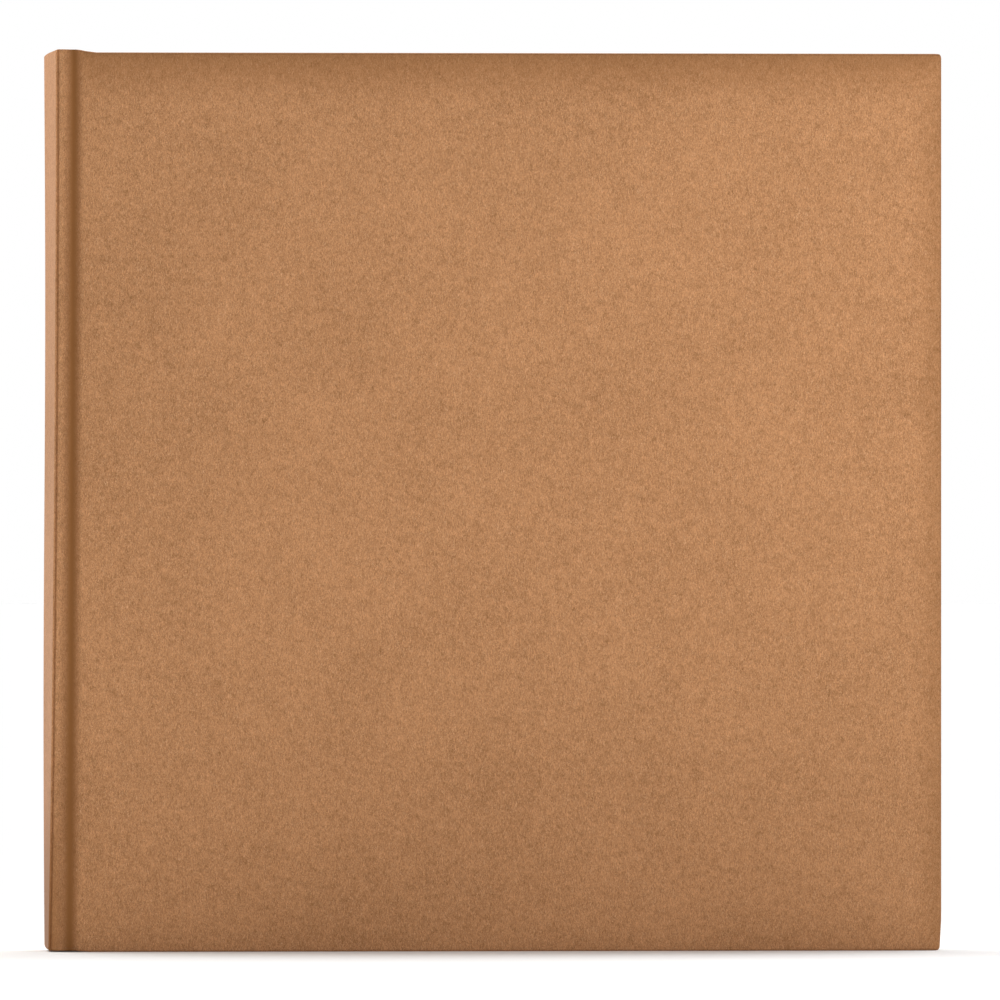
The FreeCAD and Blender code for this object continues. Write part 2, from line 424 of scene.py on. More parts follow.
def glassine_material():
    """Glassine: smooth, greaseproof tissue that lets a blurred light through."""
    tone = tuple(colours().glassine)
    material, tree, shader = new_material("glassine", tone, 0.38)
    place = where(tree)
    pulp = clouds(tree, place, 5 * MM, 3.0)
    strands = fibres(tree, place, 0.5 * MM, 3.5 * MM, 30)
    soft = maths(tree, "MULTIPLY", pulp, 0.6)
    body = maths(tree, "ADD", soft, maths(tree, "MULTIPLY", strands, 0.4))
    level = in_range(tree, body, 0.35, 0.65)
    tissue = mixed(tree, level, shade(tone, 0.94), shade(tone, 1.04))
    tree.links.new(tissue, shader.inputs["Base Color"])
    tree.links.new(in_range(tree, body, 0.35, 0.65, 0.48, 0.62), shader.inputs["Alpha"])
    bump(tree, shader, body, 0.04 * MM, 0.4)
    return material


def woven_material(name, tone, pitch, roughness=0.85):
    """A plain weave of threads along and across."""
    material, tree, shader = new_material(name, tone, roughness)
    place = node(tree, "ShaderNodeTexCoord").outputs["Object"]
    turns = node(tree, "ShaderNodeSeparateXYZ", {0: place})
    waves = []
    for axis in (1, 2):
        phase = maths(tree, "MULTIPLY", turns.outputs[axis], math.tau / pitch)
        waves.append(maths(tree, "SINE", phase))
    threads = maths(tree, "MULTIPLY", maths(tree, "MAXIMUM", *waves), 0.5)
    cloth = mixed(tree, in_range(tree, threads, -0.3, 0.5), shade(tone, 0.6), shade(tone, 1.1))
    tree.links.new(cloth, shader.inputs["Base Color"])
    bump(tree, shader, threads, 0.12 * MM, 0.8)
    return material


def band_material():
    """Cotton thread in stripes across an end band."""
    tones = colours()
    light, dark = tuple(tones.band_light), tuple(tones.band_dark)
    material, tree, shader = new_material("striped_band", light, 0.75)
    place = where(tree)
    along = node(tree, "ShaderNodeSeparateXYZ", {0: place}).outputs[1]
    wave = maths(tree, "SINE", maths(tree, "MULTIPLY", along, math.tau / STRIPE_PAIR))
    twist = fibres(tree, place, 0.12 * MM, 0.4 * MM, 35)
    stripe = in_range(tree, wave, -0.12, 0.12)
    cloth = mixed(tree, stripe, shade(light, 1.0), shade(dark, 1.0))
    worn_and_shaded = in_range(tree, twist, 0.3, 0.7, 0.0, 0.35)
    cloth = mixed(tree, worn_and_shaded, cloth, shade((0.5, 0.44, 0.36), 1.0))
    tree.links.new(cloth, shader.inputs["Base Color"])
    shader.inputs["Sheen Weight"].default_value = 0.3
    bump(tree, shader, twist, 0.05 * MM, 0.6)
    return material


def leaf_material():
    """Album card: off-white, matt, with a light tooth."""
    return plain_paper("album_card", tuple(colours().leaf), 0.05, 0.8)


# ---------------------------------------------------------------- the case

CREASE_AT = 0.8 * MM
CREASE_REACH = 0.24 * MM
SPINE_CORNER = 0.5 * MM
RIDGE_CREST = 1.6 * MM
RIDGE_SAG = 0.1 * MM
JOINT_END = 13 * MM
BOARD_EDGE = 7.5 * MM
TAIL_LIFT = 0.4 * MM
HEAD_DROP = 0.4 * MM
SPINE_FOOT, SPINE_FOOT_CORNER = 0.2 * MM, 0.7 * MM
DOUBLED_PAPER = 0.65 * MM
BOARD_ROUND = 0.3 * MM
STIFFENER_SIDE, STIFFENER_END = 0.9 * MM, 4 * MM
STIFFENER_OUTER, STIFFENER_INNER = 0.25 * MM, 1.75 * MM
# How far the painted shade reaches: groove and crease, fore-edge and head, and the spine's foot.
GROOVE_SHADE_REACH, CREASE_SHADE_REACH = 1.9 * MM, 0.3 * MM
EDGE_SHADE_REACH, HEAD_SHADE_REACH = 11 * MM, 20 * MM
FOOT_FROM, FOOT_TO = 5 * MM, 72 * MM


def face_depth(across):
    """Depth of the case's outer face: crease, rounded ridge, groove, then the flat board."""
    size = sizes()
    crease = size.crease_depth * np.exp(-(((across - CREASE_AT) / CREASE_REACH) ** 2))
    before = np.clip((GROOVE_AT - across) / size.groove_to_ridge, 0, 1)
    after = np.clip((across - GROOVE_AT) / size.groove_to_board, 0, 1)
    wall = np.cos(before * math.pi / 2) ** 2 * np.cos(after * math.pi / 2) ** 2
    from_crest = np.clip(RIDGE_CREST - across, 0, RIDGE_CREST) / RIDGE_CREST
    return crease + size.groove_depth * wall + RIDGE_SAG * from_crest**2


def swell(across, height):
    """The covering paper isn't dead flat: faint waves, strongest by the fore-edge."""
    near_fore = smoothstep(0.7 * WIDTH, WIDTH, across)
    waves = 0.5 * np.sin(across * 96 + 1.3 * np.sin(height * 31)) * np.sin(height * 42 + 0.7)
    ripple = np.sin(across * 260 + height * 40) * near_fore
    amount = (0.05 + 0.09 * near_fore) * waves + 0.035 * ripple
    inside = smoothstep(JOINT_END, 30 * MM, across) * smoothstep(0, 12 * MM, WIDTH - across)
    ends = smoothstep(0, 12 * MM, height) * smoothstep(0, 12 * MM, BOARD_TOP - height)
    return amount * MM * inside * ends


def case_section():
    """Stations over half of the case, from the middle of the spine round to the fore-edge.

    Returns the outer and the inner place across and depth of each station.
    """
    size = sizes()
    down = np.linspace(HALF, SPINE_CORNER, 16)
    turn = np.linspace(0, math.pi / 2, 7)[1:]
    corner_a = SPINE_CORNER * (1 - np.cos(turn))
    corner_d = SPINE_CORNER * (1 - np.sin(turn))
    joint = np.arange(SPINE_CORNER + 0.06 * MM, 10 * MM, 0.12 * MM)
    flat = np.linspace(joint[-1], WIDTH - 14 * MM, 76)[1:]
    near_edge = np.linspace(flat[-1], WIDTH - size.edge_radius, 12)[1:]
    face = np.concatenate([joint, flat, near_edge])
    turn_in = np.linspace(0, math.pi / 2, 6)[1:]
    edge_a = WIDTH - size.edge_radius * (1 - np.sin(turn_in))
    edge_d = size.edge_radius * (1 - np.cos(turn_in))
    outer_a = np.concatenate([np.zeros(len(down)), corner_a, face, edge_a])
    outer_d = np.concatenate([down, corner_d, face_depth(face), edge_d])
    board_under = smoothstep(GROOVE_AT, BOARD_EDGE, outer_a)
    under_joint = outer_d + DOUBLED_PAPER
    inner_d = under_joint + (COVER - outer_d - under_joint) * board_under
    inner_d = np.where(outer_a < size.spine_board, np.maximum(outer_d, 1.2 * MM), inner_d)
    inner_d = np.where(outer_a > flat[0], COVER - outer_d, inner_d)
    inner_a = np.maximum(outer_a, size.spine_board)
    return (outer_a, outer_d), (inner_a, inner_d)


def head_and_tail(side, across, depth):
    """Lowest and highest height of each station of the case."""
    size = sizes()
    on_joint = 1 - smoothstep(GROOVE_AT + 0.5 * MM, JOINT_END, across)
    behind = 1 - (side * (depth - HALF) / HALF + 1) / 2
    on_spine = across < CREASE_AT
    top = BOARD_TOP + (SPINE_TOP - BOARD_TOP) * on_joint * (1 - behind)
    top = top - HEAD_DROP * behind**6 * on_spine
    foot = SPINE_FOOT * behind + SPINE_FOOT_CORNER * behind**8
    bottom = TAIL_LIFT * on_joint + foot * on_spine
    into = np.clip(across - (WIDTH - size.corner_radius), 0, size.corner_radius)
    rounding = size.corner_radius - np.sqrt(size.corner_radius**2 - into**2)
    return bottom + rounding, top - rounding


def case_painted_shade(place, z):
    """How much painted shade the paper takes: in the groove and crease, by the edges and at the
    spine's foot.
    """
    # Painted shade in the groove and, fainter, in the crease, where shade falls.
    pressed = np.exp(-(((place - GROOVE_AT - 0.25 * MM) / GROOVE_SHADE_REACH) ** 2))
    pressed = np.maximum(pressed, 0.25 * np.exp(-(((place - CREASE_AT) / CREASE_SHADE_REACH) ** 2)))
    # Painted shade: the board darker towards its fore-edge, head and tail.
    by_fore = 0.3 * (1 - smoothstep(0, EDGE_SHADE_REACH, np.maximum(WIDTH - place, 0)))
    by_head = 0.5 * (1 - smoothstep(0, HEAD_SHADE_REACH, z.max() - z))
    by_tail = 0.05 * (1 - smoothstep(0, EDGE_SHADE_REACH, z - z.min()))
    edge_shade = np.maximum(by_fore, np.maximum(by_head, by_tail)) * (place > GROOVE_AT)
    # Painted shade at the spine's foot: the spine face and crease darker towards the tail, where
    # less light reaches them.
    foot = (1 - smoothstep(FOOT_FROM, FOOT_TO, z)) * (1 - 0.4 * smoothstep(0, CREASE_AT, place))
    foot = foot * (1 - smoothstep(0, GROOVE_AT, place))
    return np.maximum(pressed, np.maximum(edge_shade, foot))


def case_shell(side, shrink=0.0, start=0, end_radius=0.8 * MM):
    """Points, faces and painted shade of half of the case. shrink gives the core inside it."""
    (outer_a, outer_d), (inner_a, inner_d) = case_section()
    outer = np.stack([outer_a, outer_d], -1)[start:]
    inner = np.stack([inner_a, inner_d], -1)[start:]
    apart = np.linalg.norm(inner - outer, axis=1)
    towards = (inner - outer) / apart[:, None]
    bottom, top = head_and_tail(side, outer[:, 0], outer[:, 1])
    ease = np.minimum(end_radius, 0.42 * apart)
    turn = np.linspace(0, math.pi / 2, 6)
    levels = np.linspace(0, 1, 76)[1:-1]
    rise, pull = 1 - np.cos(turn), 1 - np.sin(turn)
    low = bottom + shrink + np.outer(rise, ease)
    high = top - shrink - np.outer(rise, ease)[::-1]
    body = low[-1] + np.outer(levels, high[0] - low[-1])
    z = np.concatenate([low, body, high]).T
    eased_pull = np.outer(pull, ease)
    inset = np.concatenate([eased_pull, np.zeros(body.shape), eased_pull[::-1]]).T
    move = towards[:, None, :] * (inset + shrink)[..., None]
    near = outer[:, None, :] + move
    far = inner[:, None, :] - move
    near_d = near[..., 1] - (swell(near[..., 0], z) if shrink == 0 else 0)
    skins = in_frame(side, near[..., 0], near_d, z), in_frame(side, far[..., 0], far[..., 1], z)
    near, far = (rack(skin) for skin in skins)
    at_spine = skins[1][..., 0] < SPINE_X + 2.6 * MM
    far[..., 0] = np.where(at_spine, np.minimum(far[..., 0], skins[1][..., 0]), far[..., 0])
    shade_amount = case_painted_shade(np.broadcast_to(outer[:, :1], z.shape), z)
    return *shell(near, far), np.concatenate([shade_amount] * 2).ravel().astype(np.float32)


def turn_in_flap(side, from_top):
    """The folded-over paper inside a cover's head or tail, cut to a mitre at its corner."""
    size = sizes()
    edge = BOARD_TOP if from_top else 0.0
    way = -1 if from_top else 1
    rows = np.linspace(size.edge_radius, size.square + 0.9 * MM, 6)
    start = BOARD_EDGE + 1 * MM
    grid_t, grid_r = np.meshgrid(np.linspace(0, 1, 60), rows, indexing="ij")
    end = WIDTH - grid_r
    grid_a = start + (end - start) * grid_t
    rim = np.minimum(1, np.minimum(1 - grid_t, 0.01) / 0.01)
    lift = 0.1 * MM * rim
    z = edge + way * grid_r
    near = in_frame(side, grid_a, COVER - 0.05 * MM, z)
    far = in_frame(side, grid_a, COVER + lift, z)
    return shell(near, far)


class ALBUM_OT_case_papers(bpy.types.Operator):
    """Wrap the spine and both boards in covering paper, with its grooves and turn-ins"""

    bl_idname = "album.case_papers"
    bl_label = "Case papers"

    def execute(self, context):
        material = cover_material()
        for name, side in SIDES.items():
            points, faces, shade_amount = case_shell(side)
            flaps = [turn_in_flap(side, from_top) for from_top in (False, True)]
            added = sum(len(flap[0]) for flap in flaps)
            points, faces = joined([(points, faces), *flaps])
            # The turn-ins take a fifth of the painted shade throughout.
            shade_amount = np.concatenate([shade_amount, np.full(added, 0.2, np.float32)])
            wrap = piece(f"{name}_case_paper", points, faces, material, "cover_paper", shade_amount)
            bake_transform(wrap)
            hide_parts(f"{name}_cover_paper", "spine_cover_paper")
        return {"FINISHED"}


class ALBUM_OT_boards(bpy.types.Operator):
    """Put the greyboards inside the case: two covers and the spine"""

    bl_idname = "album.boards"
    bl_label = "Boards"

    def execute(self, context):
        material = board_material()
        paper = sizes().cover_paper
        for name, side in SIDES.items():
            (outer_a, _), _ = case_section()
            first = int(np.argmax(outer_a > BOARD_EDGE + 1.2 * MM))
            points, faces, _ = case_shell(side, paper * 1.4, first, BOARD_ROUND)
            board = piece(f"{name}_greyboard", points, faces, material, "greyboard")
            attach(board, f"{name}_cover")
            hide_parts(f"{name}_board")
        low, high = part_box("spine_board")
        sides = low.y + STIFFENER_SIDE, high.y - STIFFENER_SIDE
        ends = low.z + STIFFENER_END, high.z - STIFFENER_END
        y, y_inset = eased(*sides, 14, BOARD_ROUND)
        z, z_inset = eased(*ends, 30, BOARD_ROUND)
        grid_y, grid_z = np.meshgrid(y, z, indexing="ij")
        inset = np.maximum(y_inset[:, None], z_inset[None, :])
        outer = np.stack([low.x + STIFFENER_OUTER + inset, grid_y, grid_z], -1)
        inner = np.stack([low.x + STIFFENER_INNER - inset, grid_y, grid_z], -1)
        skins = [rack(outer), rack(inner)]
        skins = [np.concatenate([np.minimum(s[..., :1], r[..., :1] + 0.1 * MM), s[..., 1:]], -1)
                 for s, r in zip(skins, (outer, inner))]
        board = piece("spine_stiffener", *shell(*skins), material, "greyboard")
        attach(board, "binding")
        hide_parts("spine_board")
        return {"FINISHED"}


# ---------------------------------------------------------------- the block

LEAF_CARD, FLYLEAF_PAPER = 0.34 * MM, 0.16 * MM
PASTEDOWN_PAPER, TISSUE = 0.1 * MM, 0.05 * MM
FOLD_REACH, FOLD_ZONE = 0.5 * MM, 1.5 * MM
TURN_IN, TURN_IN_STEP = 15 * MM, 1.2 * MM
MULL_FROM, MULL_TO = 31 * MM, 33.5 * MM
JOINT_ROWS_END, END_ZONE = 12 * MM, 20 * MM
LEAF_SEED, TISSUE_SEED, GUARD_SEED, FLYLEAF_SEED = 100, 300, 500, 700


def drift(seed):
    """A small, steady offset for one sheet, so that no two edges line up exactly."""
    draw = np.random.default_rng(seed)
    return draw.uniform(-1, 1, 6)


def wave(seed, amount):
    """How a sheet leaves its plane: a wave that all sheets share and a little of its own."""
    own = drift(seed)

    def offset(across, height):
        free = smoothstep(FOLD_AT + 6 * MM, FOLD_AT + 90 * MM, across)
        shared = np.sin(across * 13 + height * 9 + 0.4) * np.sin(height * 14 + 1.1)
        alone = np.sin(across * (17 + 4 * own[0]) + 6 * own[1]) * np.sin(height * (21 + 5 * own[2]))
        return amount * free * (0.8 * shared + 0.35 * alone)

    return offset


def score(across, depth=0.05 * MM, reach=0.45 * MM):
    """The pressed line that a sheet folds on."""
    return depth * np.exp(-(((across - FOLD_AT) / reach) ** 2))


def add_fold_rows(start, end, steps):
    """Stations across a sheet, close together by its fold."""
    before, after = FOLD_AT - FOLD_ZONE, FOLD_AT + FOLD_ZONE
    margin = np.linspace(start, before, 8)
    fold = np.linspace(before, after, 21)[1:]
    free = np.linspace(after, end, steps)[1:]
    return np.concatenate([margin, fold, free])


def folded_sheet(cad_node, thickness, seed):
    """Points and faces of a bound sheet with a scored fold beside the guards."""
    low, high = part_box(cad_node)
    middle = (low.y + high.y) / 2
    own = drift(seed)
    offset = wave(seed, sizes().leaf_wave)
    ease = 0.45 * thickness
    end = high.x - SPINE_X - 0.35 * MM * (own[3] + 1)
    bottom, top = low.z + 0.15 * MM * (own[4] + 1), high.z - 0.15 * MM * (own[5] + 1)
    rows = add_fold_rows(BLOCK_AT, end - ease, 46)
    turn = np.linspace(0, math.pi / 2, 4)[1:]
    a = np.concatenate([rows, end - ease + ease * np.sin(turn)])
    a_inset = np.concatenate([np.zeros(len(rows)), ease * (1 - np.cos(turn))])
    z, z_inset = eased(bottom, top, 36, ease)
    grid_a, grid_z = np.meshgrid(a, z, indexing="ij")
    half = thickness / 2 - np.maximum(a_inset[:, None], z_inset[None, :])
    y = middle + offset(grid_a, grid_z)
    x = SPINE_X + grid_a
    dent = score(grid_a)
    near = np.stack([x, y - half + dent, grid_z], -1)
    far = np.stack([x, y + half - dent, grid_z], -1)
    return shell(near, far)


def hang_on_fold(made):
    """Bakes a bound sheet's place into its points."""
    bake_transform(made)


class ALBUM_OT_leaves(bpy.types.Operator):
    """Bind the album leaves: cards scored beside their guards, each a touch out of true"""

    bl_idname = "album.leaves"
    bl_label = "Leaves"

    def execute(self, context):
        material = leaf_material()
        for name in LEAF_NAMES:
            number = name[5:]
            points, faces = folded_sheet(name, LEAF_CARD, LEAF_SEED + int(number))
            leaf = piece(f"album_leaf_{number}", points, faces, material, "leaf_card")
            hang_on_fold(leaf)
            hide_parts(name, "leaf_stubs")
        return {"FINISHED"}


class ALBUM_OT_interleaves(bpy.types.Operator):
    """Tip a cockled glassine sheet onto the front of each leaf"""

    bl_idname = "album.interleaves"
    bl_label = "Glassine interleaves"

    def execute(self, context):
        material = glassine_material()
        for name in LEAF_NAMES:
            number = name[5:]
            low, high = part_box(f"glassine_{number}")
            leaf_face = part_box(name)[0].y
            seed = TISSUE_SEED + int(number)
            shared = wave(LEAF_SEED + int(number), sizes().leaf_wave)
            own = drift(seed)
            amount = sizes().glassine_wave

            def depth(across, height):
                free = smoothstep(FOLD_AT + 5 * MM, FOLD_AT + 35 * MM, across)
                ripple = np.sin(height * (150 + 30 * own[0]) + 3 * np.sin(across * 35 + own[1]))
                cockle = np.sin(across * (120 + 30 * own[2]) + 2 * np.sin(height * 48 + own[3]))
                lift = 0.06 * MM + 0.22 * MM * free + amount * free * (0.6 * ripple + 0.4 * cockle)
                return leaf_face - lift + shared(across, height)

            across = (low.x - SPINE_X - 0.6 * MM, high.x - SPINE_X - 0.6 * MM * (own[4] + 1), 60)
            heights = (low.z + 0.5 * MM * (own[5] + 1), high.z - 0.5 * MM * (own[2] + 1), 80)
            points, faces = sheet_shell(across, heights, TISSUE, depth)
            sheet = piece(f"glassine_sheet_{number}", points, faces, material, "glassine")
            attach(sheet, f"page_{number}")
            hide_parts(f"glassine_{number}")
        return {"FINISHED"}


def guard_gaps():
    """Lowest and highest depth of each guard, between one bound sheet and the next."""
    front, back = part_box("front_flyleaf"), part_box("back_flyleaf")
    spans = [front, *(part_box(name) for name in LEAF_NAMES), back]
    return [(near[1].y, far[0].y) for near, far in zip(spans, spans[1:])]


class ALBUM_OT_guards(bpy.types.Operator):
    """Stack the card guards that space the leaves apart at the spine"""

    bl_idname = "album.guards"
    bl_label = "Guards"

    def execute(self, context):
        material = plain_paper("guard_card", tuple(colours().guard), 0.07, 0.85)
        low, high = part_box("guard_strips")
        parts = []
        for number, (near_y, far_y) in enumerate(guard_gaps()):
            own = drift(GUARD_SEED + number)
            thickness = far_y - near_y - 0.02 * MM
            middle = (near_y + far_y) / 2
            across = (BLOCK_AT, high.x - SPINE_X - 0.2 * MM * (own[0] + 1), 8)
            heights = (low.z + 0.12 * MM * (own[1] + 1), high.z - 0.12 * MM * (own[2] + 1), 24)
            plies = 2 if thickness > 0.8 * MM else 1
            for ply in range(plies):
                ply_y = middle + (ply - (plies - 1) / 2) * thickness / plies
                parts.append(
                    sheet_shell(across, heights, thickness / plies, lambda a, z, y=ply_y: y + 0 * a)
                )
        guards = piece("card_guards", *joined(parts), material, "guard_card")
        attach(guards, "binding")
        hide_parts("guard_strips")
        return {"FINISHED"}


class ALBUM_OT_endpapers(bpy.types.Operator):
    """Paste an endpaper into each cover and over the joint, and hang the flyleaves"""

    bl_idname = "album.endpapers"
    bl_label = "Endpapers"

    def execute(self, context):
        material = plain_paper("endpaper", tuple(colours().endpaper), 0.06, 0.82, 0.45 * MM)
        for name, side in SIDES.items():
            low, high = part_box(f"{name}_pastedown")
            end = high.x - SPINE_X
            joint = np.linspace(BLOCK_AT, JOINT_ROWS_END, 60)
            rows = np.concatenate([joint, np.linspace(JOINT_ROWS_END, end, 90)[1:]])
            heights = np.concatenate([
                np.linspace(low.z, low.z + END_ZONE, 16),
                np.linspace(low.z + END_ZONE, high.z - END_ZONE, 50)[1:-1],
                np.linspace(high.z - END_ZONE, high.z, 16),
            ])
            a, z = np.meshgrid(rows, heights, indexing="ij")
            step = TURN_IN - TURN_IN_STEP, TURN_IN + TURN_IN_STEP
            framed = smoothstep(*step, WIDTH - a)
            framed = framed * smoothstep(*step, z)
            framed = framed * smoothstep(*step, BOARD_TOP - z)
            gauze = 1 - smoothstep(MULL_FROM, MULL_TO, a)
            on_board = smoothstep(GROOVE_AT, GROOVE_AT + 2 * MM, a)
            face = COVER + 0.19 * MM - 0.06 * MM * framed * (1 - 0.5 * gauze)
            on_block = COVER + 0.28 * MM
            depth = on_block + (face - on_block) * on_board
            rim = np.minimum(end - a, np.minimum(z - low.z, high.z - z)) < 0.01 * MM
            depth = depth - 0.03 * MM * rim
            near = in_frame(side, a, depth - PASTEDOWN_PAPER + 0.03 * MM * rim, z)
            far = in_frame(side, a, depth, z)
            sheet = piece(f"{name}_endpaper", *shell(near, far), material, "endpaper")
            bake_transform(sheet)
            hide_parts(f"{name}_pastedown")
            points, faces = folded_sheet(f"{name}_flyleaf", FLYLEAF_PAPER, FLYLEAF_SEED + side)
            flyleaf = piece(f"{name}_fly_sheet", points, faces, material, "endpaper")
            hang_on_fold(flyleaf)
            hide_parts(f"{name}_flyleaf", "leaf_stubs")
        return {"FINISHED"}


STRIPE_PAIR = 2.2 * MM
THREAD_PITCH = 0.366 * MM


def wound_bead(centre_x, centre_z, radius, low_y, high_y):
    """A cord wound round and round with thread, capped at both ends."""
    count = int((high_y - low_y) / THREAD_PITCH * 6)
    y = np.linspace(low_y, high_y, count)
    ridges = np.abs(np.sin((y - low_y) / THREAD_PITCH * math.pi)) ** 0.6
    r = radius * (0.9 + 0.1 * ridges)
    ends = np.minimum(y - low_y, high_y - y)
    r = r * np.sqrt(np.clip(ends / (0.5 * radius), 0.02, 1))
    angle = np.linspace(0, math.tau, 21)[:-1]
    lean = 0.35 * THREAD_PITCH * np.sin(angle)
    ring_y = y[:, None] + lean[None, :] * np.clip(ends / radius, 0, 1)[:, None]
    points = np.stack([
        centre_x + r[:, None] * np.cos(angle),
        ring_y,
        centre_z + r[:, None] * np.sin(angle),
    ], -1)
    return tube(points)


def tube(rings):
    """Points and faces of a closed tube from its rings of points."""
    rows, around = rings.shape[:2]
    grid = np.arange(rows * around).reshape(rows, around)
    side = np.roll(grid, -1, axis=1)
    faces = np.stack([grid[:-1], side[:-1], side[1:], grid[1:]], -1).reshape(-1, 4)
    middles = rings[[0, -1]].mean(1)
    centre = rows * around
    caps = []
    for ring, middle, step in ((grid[0], centre, 1), (grid[-1], centre + 1, -1)):
        pairs = ring[::step]
        after = np.roll(pairs, -1)
        caps.append(np.stack([pairs, after, np.full(around, middle), np.full(around, middle)], -1))
    points = np.concatenate([rings.reshape(-1, 3), middles])
    return points, np.concatenate([faces, *caps])


def without_repeats(faces):
    """Faces as lists, with a point that a face repeats given once."""
    return [list(dict.fromkeys(face)) for face in faces.tolist()]


class ALBUM_OT_end_bands(bpy.types.Operator):
    """Sew the head band and the tail band: a thread-wound bead, a braid and a ribbon"""

    bl_idname = "album.end_bands"
    bl_label = "End bands"

    def execute(self, context):
        material = band_material()
        for name, upper in (("head", True), ("tail", False)):
            low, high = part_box(f"{name}_band")
            radius = (high.x - low.x) / 2
            x = low.x + radius
            z = high.z - radius if upper else low.z + radius
            inwards = -1 if upper else 1
            bead = wound_bead(x, z, radius, low.y, high.y)
            braid_x, braid_z = x + 0.8 * radius, z + inwards * 0.75 * radius
            braid = wound_bead(braid_x, braid_z, 0.3 * radius, low.y, high.y)
            ribbon_z = sorted((z, low.z if upper else high.z))
            y, _ = eased(low.y, high.y, 40, 0.05 * MM)
            level = np.linspace(*ribbon_z, 20)
            grid_y, grid_z = np.meshgrid(y, level, indexing="ij")
            near = np.stack([0 * grid_y + low.x + 0.02 * MM, grid_y, grid_z], -1)
            far = np.stack([0 * grid_y + low.x + 0.28 * MM, grid_y, grid_z], -1)
            points, faces = joined([bead, braid, shell(near, far)])
            band = smooth_object(f"{name}_band_sewn", points, without_repeats(faces), material)
            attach(band, "binding")
            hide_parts(f"{name}_band")
        return {"FINISHED"}


class ALBUM_OT_linings(bpy.types.Operator):
    """Give the spine's kraft liner and the strips of mull their own finish"""

    bl_idname = "album.linings"
    bl_label = "Linings"

    def execute(self, context):
        tones = colours()
        gauze = woven_material("mull", tuple(tones.gauze), 0.9 * MM)
        kraft = plain_kraft(tuple(tones.kraft))
        for name in ("spine_mull", "front_hinge_mull", "back_hinge_mull"):
            dress(NODES[name], gauze)
        dress(NODES["spine_liner"], kraft)
        return {"FINISHED"}


def plain_kraft(tone):
    """Brown kraft paper: long fibres and a faint ribbing."""
    material, tree, shader = new_material("kraft_liner", tone, 0.82)
    place = node(tree, "ShaderNodeTexCoord").outputs["Object"]
    grain = fibres(tree, place, 0.4 * MM, 2.4 * MM, 5)
    level = in_range(tree, grain, 0.35, 0.65)
    paper = mixed(tree, level, shade(tone, 0.8), shade(tone, 1.2))
    tree.links.new(paper, shader.inputs["Base Color"])
    bump(tree, shader, grain, 0.05 * MM, 0.5)
    return material


def dress(made, material):
    """Gives a piece of the frame one finish."""
    made.data.materials.clear()
    made.data.materials.append(material)


# ---------------------------------------------------------------- the stage

VIEW_AZIMUTH = -6.1
CAMERA_FAR = 9.0
VIEW_WIDTH = 333.6 * MM
AIM_RIGHT = 2.43 * MM
AIM_HEIGHT = 150.2 * MM
CENTRE = Vector((0, 0, 150 * MM))
HAZE_BEHIND, HAZE_BEFORE = 1.0, 0.36


def towards(azimuth, elevation):
    """The way from the album to a lamp. Azimuth 0 is straight out of the front cover."""
    turn, rise = math.radians(azimuth), math.radians(elevation)
    flat = math.cos(rise)
    return Vector((math.sin(turn) * flat, -math.cos(turn) * flat, math.sin(rise)))


def lamp(name, kind, place, aim, energy, spin=0.0, **settings):
    """A lamp at a place, turned to a point, and spun about its own beam."""
    light = bpy.data.lights.new(name, kind)
    light.energy = energy
    for key, value in settings.items():
        setattr(light, key, value)
    made = bpy.data.objects.new(name, light)
    made.location = place
    made.rotation_mode = "QUATERNION"
    beam = (Vector(aim) - Vector(place)).to_track_quat("-Z", "Y")
    made.rotation_quaternion = beam @ Quaternion((0, 0, 1), math.radians(spin))
    bpy.context.scene.collection.objects.link(made)
    return made


def studio_air():
    """A white cyclorama behind the album that fades to soft grey behind the camera."""
    world = bpy.data.worlds.new("studio")
    world.use_nodes = True
    tree = world.node_tree
    background = tree.nodes["Background"]
    background.inputs["Color"].default_value = (1.0, 1.0, 1.0, 1.0)
    way = node(tree, "ShaderNodeTexCoord").outputs["Generated"]
    depth = node(tree, "ShaderNodeSeparateXYZ", {0: way}).outputs[1]
    level = in_range(tree, depth, -0.3, 0.5, HAZE_BEFORE, HAZE_BEHIND)
    tree.links.new(level, background.inputs["Strength"])
    return world


def floor_piece():
    """A wide, matt, nearly white floor."""
    material, tree, shader = new_material("pale_floor", (0.93, 0.93, 0.93), 0.9)
    place = node(tree, "ShaderNodeTexCoord").outputs["Object"]
    pale = mixed(tree, clouds(tree, place, 0.6), (0.93, 0.93, 0.935, 1), (0.95, 0.95, 0.95, 1))
    tree.links.new(pale, shader.inputs["Base Color"])
    shader.inputs["Specular IOR Level"].default_value = 0.0
    reach = 30.0
    corners = [(-reach, -reach, 0), (reach, -reach, 0), (reach, reach, 0), (-reach, reach, 0)]
    mesh = bpy.data.meshes.new("floor")
    mesh.from_pydata(corners, [], [(0, 1, 2, 3)])
    mesh.materials.append(material)
    floor = bpy.data.objects.new("floor", mesh)
    bpy.context.scene.collection.objects.link(floor)


def studio_lamps():
    """Soft light from over and behind and from the left, a low fill, a sheen strip, two rims."""
    over = CENTRE + towards(180, 60)
    lamp("over_behind", "SUN", over, CENTRE, 1.55, angle=math.radians(45))
    lamp("left_box", "AREA", CENTRE + towards(-35, 0) * 2.2, CENTRE, 2.9, size=1.0)
    lamp("low_fill", "AREA", (-0.04, -0.9, 0.04), (-0.04, 0, 0.06), 0.9, size=0.35)
    strip = {"shape": "RECTANGLE", "size": 0.08, "size_y": 0.3}
    lamp("sheen_strip", "AREA", (0.25, -0.4, 0.26), (0.1, 0, 0.21), 0.38, spin=-45, **strip)
    lamp("left_rim", "AREA", (-0.45, 0.12, 0.42), (SPINE_X, 0, 0.19), 0.6, size=0.2,
         color=(1.0, 0.9, 0.74))
    lamp("right_rim", "AREA", (0.45, 0.14, 0.4), (FORE_X, 0, 0.05), 0.5, size=0.2)


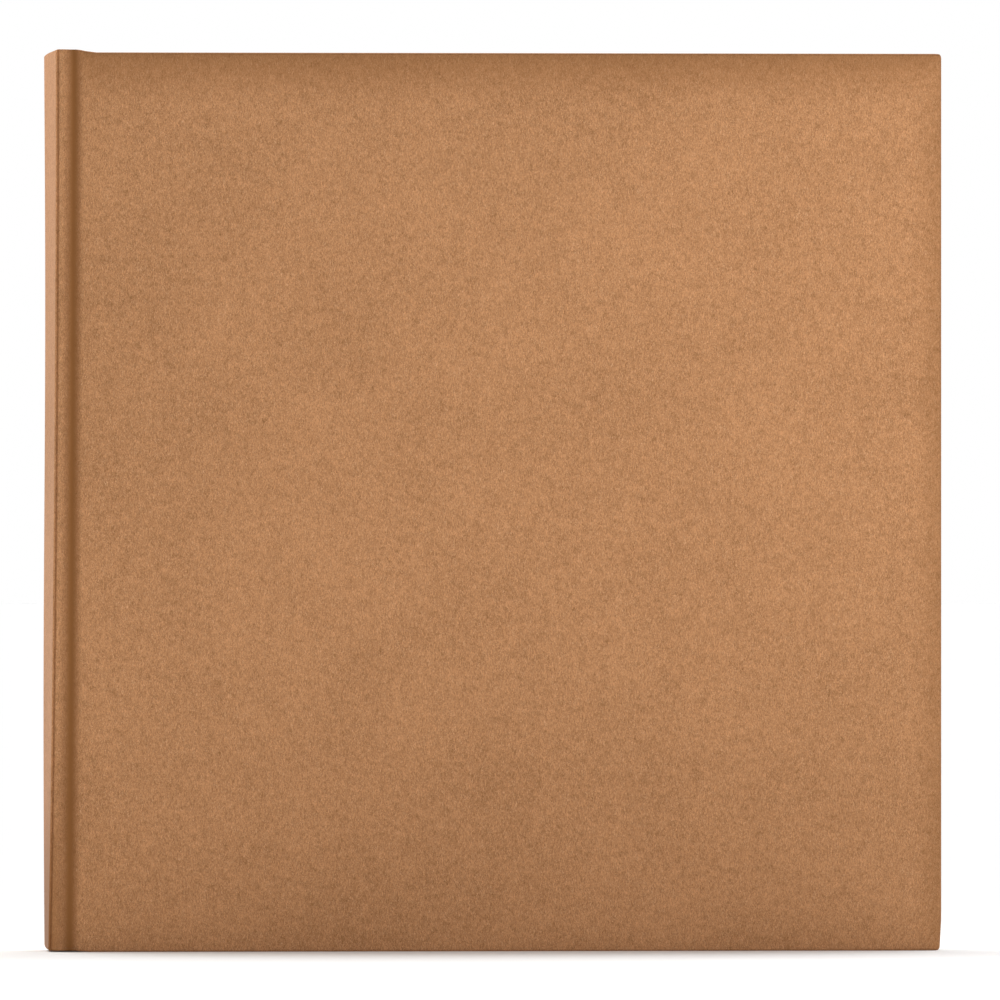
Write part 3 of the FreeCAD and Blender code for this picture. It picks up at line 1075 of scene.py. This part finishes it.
def front_camera():
    """A long lens before the front cover, a little to its left and level with its middle."""
    turn = math.radians(VIEW_AZIMUTH)
    back = towards(VIEW_AZIMUTH, 0)
    right = Vector((math.cos(turn), math.sin(turn), 0))
    lens = bpy.data.cameras.new("camera")
    lens.sensor_width = 36
    lens.lens = lens.sensor_width * CAMERA_FAR / VIEW_WIDTH
    lens.clip_end = 100
    camera = bpy.data.objects.new("camera", lens)
    camera.location = Vector((0, 0, AIM_HEIGHT)) + right * AIM_RIGHT + back * CAMERA_FAR
    camera.rotation_mode = "QUATERNION"
    camera.rotation_quaternion = (-back).to_track_quat("-Z", "Y")
    bpy.context.scene.collection.objects.link(camera)
    return camera


class ALBUM_OT_stage(bpy.types.Operator):
    """Set the album on a pale floor in soft studio light, with the camera before its cover"""

    bl_idname = "album.stage"
    bl_label = "Stage"

    def execute(self, context):
        context.scene.view_settings.view_transform = "Standard"
        context.scene.world = studio_air()
        floor_piece()
        studio_lamps()
        context.scene.camera = front_camera()
        return {"FINISHED"}


class VIEW3D_PT_album(bpy.types.Panel):
    """The album's steps and its settings"""

    bl_idname = "VIEW3D_PT_album"
    bl_label = "Scrapbook Album"
    bl_space_type = "VIEW_3D"
    bl_region_type = "UI"
    bl_category = "Album"

    def draw(self, context):
        layout = self.layout
        for operator in STEPS:
            layout.operator(operator.bl_idname)
        for group in (context.scene.album_sizes, context.scene.album_colours):
            column = layout.box().column()
            for key in group.bl_rna.properties.keys():
                if key not in ("rna_type", "name"):
                    column.prop(group, key)


STEPS = (
    ALBUM_OT_case_papers,
    ALBUM_OT_boards,
    ALBUM_OT_linings,
    ALBUM_OT_guards,
    ALBUM_OT_leaves,
    ALBUM_OT_interleaves,
    ALBUM_OT_endpapers,
    ALBUM_OT_end_bands,
    ALBUM_OT_stage,
)
CLASSES = (AlbumSizes, AlbumColours, *STEPS, VIEW3D_PT_album)


def register():
    for each in CLASSES:
        bpy.utils.register_class(each)
    bpy.types.Scene.album_sizes = bpy.props.PointerProperty(type=AlbumSizes)
    bpy.types.Scene.album_colours = bpy.props.PointerProperty(type=AlbumColours)


def unregister():
    del bpy.types.Scene.album_colours
    del bpy.types.Scene.album_sizes
    for each in reversed(CLASSES):
        bpy.utils.unregister_class(each)


def main():
    """Registers the add-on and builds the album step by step."""
    register()
    for step in STEPS:
        group, name = step.bl_idname.split(".")
        getattr(getattr(bpy.ops, group), name)()


if __name__ == "__main__":
    main()
